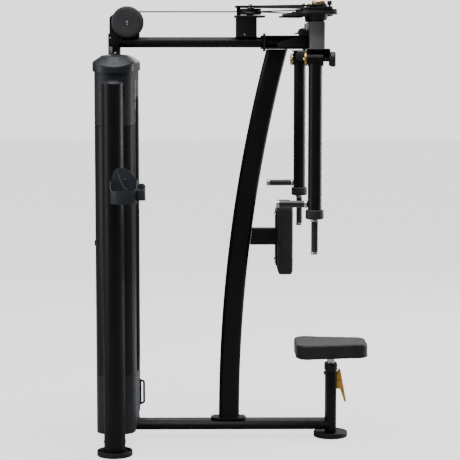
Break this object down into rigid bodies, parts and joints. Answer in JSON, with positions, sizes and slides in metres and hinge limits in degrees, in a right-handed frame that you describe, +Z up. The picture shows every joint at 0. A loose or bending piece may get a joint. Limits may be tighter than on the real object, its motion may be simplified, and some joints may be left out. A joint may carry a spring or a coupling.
{
  "type": "pectoral fly and rear deltoid machine",
  "caption": "Seated fly machine with an enclosed weight stack, a curved mast and two hanging arms that swing on overhead cams.",
  "frame": {"origin": "on the floor, at the centre of the machine's box at rest", "axes": "+Z up, +X from the weight tower to the seat, +Y to the right-hand arm"},
  "size_m": [1.318, 1.4022, 2.124],
  "materials": {
    "powder_coat": "satin black powder coat",
    "rubber_feet": "moulded black rubber",
    "rubber_grip": "ribbed black rubber",
    "black_plastic": "moulded black plastic",
    "shroud_plastic": "fine textured blue-grey plastic",
    "smoked_panel": "smoked panel",
    "upholstery": "charcoal grained vinyl",
    "zinc_steel": "bright zinc plate",
    "iron_plates": "dark painted cast iron",
    "pulley_nylon": "black nylon",
    "cable_sheath": "black nylon cable sheath",
    "yellow_lever": "yellow powder coat"
  },
  "bodies": {
    "frame": {"base_beam": "powder_coat", "bottle_holder": "shroud_plastic", "cable_drop_left": "cable_sheath", "cable_drop_right": "cable_sheath", "cable_run_left": "cable_sheath", "cable_run_right": "cable_sheath", "chest_pad": "upholstery", "guide_pedestal": "powder_coat", "guide_rod_left": "zinc_steel", "guide_rod_right": "zinc_steel", "head_clamp": "powder_coat", "head_crossbeam": "powder_coat", "mast": "powder_coat", "neck": "powder_coat", "pad_bracket": "powder_coat", "pulley_bracket": "powder_coat", "pulley_cover_left": "black_plastic", "pulley_cover_right": "black_plastic", "resting_plates": "iron_plates", "seat_foot": "rubber_feet", "seat_post": "powder_coat", "seat_sleeve": "black_plastic", "shroud_cap": "black_plastic", "shroud_lower": "shroud_plastic", "shroud_upper": "shroud_plastic", "shroud_window": "smoked_panel", "tie_plate": "powder_coat", "top_beam": "powder_coat", "top_pulley_axle": "zinc_steel", "tower_base_tube": "powder_coat", "tower_foot_left": "rubber_feet", "tower_foot_right": "rubber_feet", "tower_handle": "black_plastic", "tower_top_tube": "powder_coat", "tower_upright_left": "powder_coat", "tower_upright_right": "powder_coat"},
    "top_pulley": {"top_pulley": "pulley_nylon"},
    "guide_pulley_left": {"guide_pulley_left": "pulley_nylon"},
    "guide_pulley_right": {"guide_pulley_right": "pulley_nylon"},
    "weight_stack": {"lifted_plates": "iron_plates"},
    "selector_pin": {"selector_pin": "black_plastic"},
    "cam_left": {"cam_left": "powder_coat"},
    "cam_right": {"cam_right": "powder_coat"},
    "boom_left": {"boom_left": "powder_coat", "boom_hub_left": "powder_coat", "hinge_pin_left": "black_plastic"},
    "boom_right": {"boom_right": "powder_coat", "boom_hub_right": "powder_coat", "hinge_pin_right": "black_plastic"},
    "pop_pin_left": {"pop_pin_left": "black_plastic"},
    "pop_pin_right": {"pop_pin_right": "black_plastic"},
    "arm_left": {"arm_left": "powder_coat", "grip_upright_left": "rubber_grip", "grip_level_left": "rubber_grip"},
    "arm_right": {"arm_right": "powder_coat", "grip_upright_right": "rubber_grip", "grip_level_right": "rubber_grip"},
    "seat": {"seat_slide": "zinc_steel", "seat_pad": "upholstery"},
    "seat_lever": {"seat_lever": "yellow_lever"}
  },
  "joints": [
    {"name": "cam_left_turn", "type": "hinge", "parent": "frame", "child": "cam_left", "pos_m": [0.393, -0.2, 2.07], "axis": [0, 0, 1], "range_deg": [0, 95]},
    {"name": "cam_right_turn", "type": "hinge", "parent": "frame", "child": "cam_right", "pos_m": [0.393, 0.2, 2.07], "axis": [0, 0, -1], "range_deg": [0, 95]},
    {"name": "stack_lift", "type": "slide", "parent": "frame", "child": "weight_stack", "axis": [0, 0, 1], "range_m": [0, 0.185], "deforming": ["cable_drop_left", "cable_drop_right"]},
    {"name": "top_pulley_spin", "type": "hinge", "parent": "frame", "child": "top_pulley", "pos_m": [-0.512, 0, 2.029], "axis": [0, 1, 0], "continuous": true},
    {"name": "guide_pulley_left_spin", "type": "hinge", "parent": "frame", "child": "guide_pulley_left", "pos_m": [0.078, -0.062, 2.0785], "axis": [0, 0, -1], "continuous": true},
    {"name": "guide_pulley_right_spin", "type": "hinge", "parent": "frame", "child": "guide_pulley_right", "pos_m": [0.078, 0.062, 2.0785], "axis": [0, 0, 1], "continuous": true},
    {"name": "selector_pin_pull", "type": "slide", "parent": "weight_stack", "child": "selector_pin", "axis": [1, 0, 0], "range_m": [0, 0.1]},
    {"name": "boom_left_start", "type": "hinge", "parent": "cam_left", "child": "boom_left", "pos_m": [0.393, -0.2, 2.07], "axis": [0, 0, 1], "range_deg": [-70, 0]},
    {"name": "arm_left_sway", "type": "hinge", "parent": "boom_left", "child": "arm_left", "pos_m": [0.3515, -0.66, 1.851], "axis": [-0.996, 0.0899, 0], "range_deg": [-15, 35]},
    {"name": "pop_pin_left_press", "type": "slide", "parent": "boom_left", "child": "pop_pin_left", "axis": [0, 0, 1], "range_m": [-0.0045, 0.004]},
    {"name": "boom_right_start", "type": "hinge", "parent": "cam_right", "child": "boom_right", "pos_m": [0.393, 0.2, 2.07], "axis": [0, 0, -1], "range_deg": [-70, 0]},
    {"name": "arm_right_sway", "type": "hinge", "parent": "boom_right", "child": "arm_right", "pos_m": [0.3515, 0.66, 1.851], "axis": [0.996, 0.0899, 0], "range_deg": [-15, 35]},
    {"name": "pop_pin_right_press", "type": "slide", "parent": "boom_right", "child": "pop_pin_right", "axis": [0, 0, 1], "range_m": [-0.0045, 0.004]},
    {"name": "seat_height", "type": "slide", "parent": "frame", "child": "seat", "axis": [0, 0, 1], "range_m": [0, 0.2]},
    {"name": "seat_lever_pull", "type": "hinge", "parent": "frame", "child": "seat_lever", "pos_m": [0.5117, 0, 0.31], "axis": [0, -1, 0], "range_deg": [0, 12], "stiffness_Nm_per_rad": 2}
  ],
  "couplings": [
    {"joint": "cam_right_turn", "follows": "cam_left_turn", "ratio": 1},
    {"joint": "stack_lift", "follows": "cam_left_turn", "m_per_rad": 0.11},
    {"joint": "top_pulley_spin", "follows": "cam_left_turn", "ratio": 2.2222},
    {"joint": "guide_pulley_left_spin", "follows": "cam_left_turn", "ratio": 2.2},
    {"joint": "guide_pulley_right_spin", "follows": "cam_left_turn", "ratio": 2.2}
  ]
}
